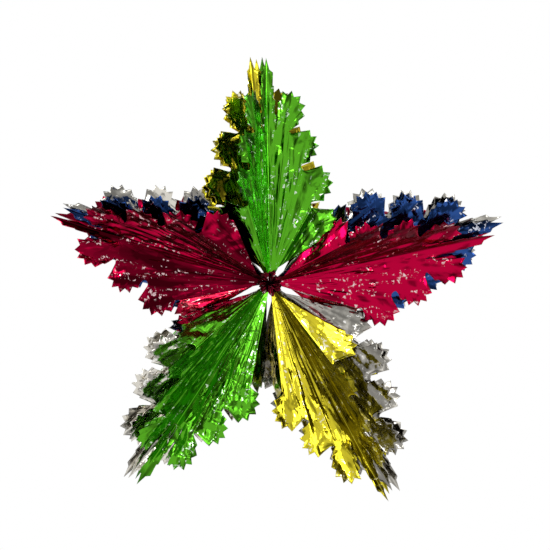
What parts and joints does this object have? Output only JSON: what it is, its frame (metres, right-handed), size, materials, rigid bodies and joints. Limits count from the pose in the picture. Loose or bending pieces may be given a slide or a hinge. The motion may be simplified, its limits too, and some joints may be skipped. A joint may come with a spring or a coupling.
{
  "type": "foil leaf star decoration",
  "caption": "Hanging five-armed star of folded, toothed foil leaves gathered round a tied centre.",
  "frame": {"origin": "the centre of the star, on the axis of its gathered stem and midway between its front and rear leaves", "axes": "the star lies in the XZ plane as it hangs, its top arm towards +Z, and its front faces -Y"},
  "size_m": [0.3868, 0.1128, 0.3802],
  "materials": {
    "green_foil": "mirror-bright metallised film, creased",
    "gold_foil": "mirror-bright metallised film, creased",
    "crimson_foil": "mirror-bright metallised film, creased",
    "blue_foil": "mirror-bright metallised film, creased",
    "silver_foil": "mirror-bright metallised film, creased",
    "stem_foil": "mirror-bright metallised film, creased",
    "wire": "bright thin wire"
  },
  "bodies": {
    "root": {"top_front_leaf": "green_foil", "top_second_leaf": "gold_foil", "top_third_leaf": "gold_foil", "top_rear_leaf": "green_foil", "left_front_leaf": "crimson_foil", "left_second_leaf": "blue_foil", "left_third_leaf": "silver_foil", "left_rear_leaf": "crimson_foil", "right_front_leaf": "crimson_foil", "right_second_leaf": "blue_foil", "right_third_leaf": "silver_foil", "right_rear_leaf": "crimson_foil", "lower_left_front_leaf": "green_foil", "lower_left_second_leaf": "silver_foil", "lower_left_third_leaf": "silver_foil", "lower_left_rear_leaf": "green_foil", "lower_right_front_leaf": "gold_foil", "lower_right_second_leaf": "silver_foil", "lower_right_third_leaf": "silver_foil", "lower_right_rear_leaf": "gold_foil", "centre_stem": "stem_foil", "tie_wire": "wire"}
  },
  "joints": []
}
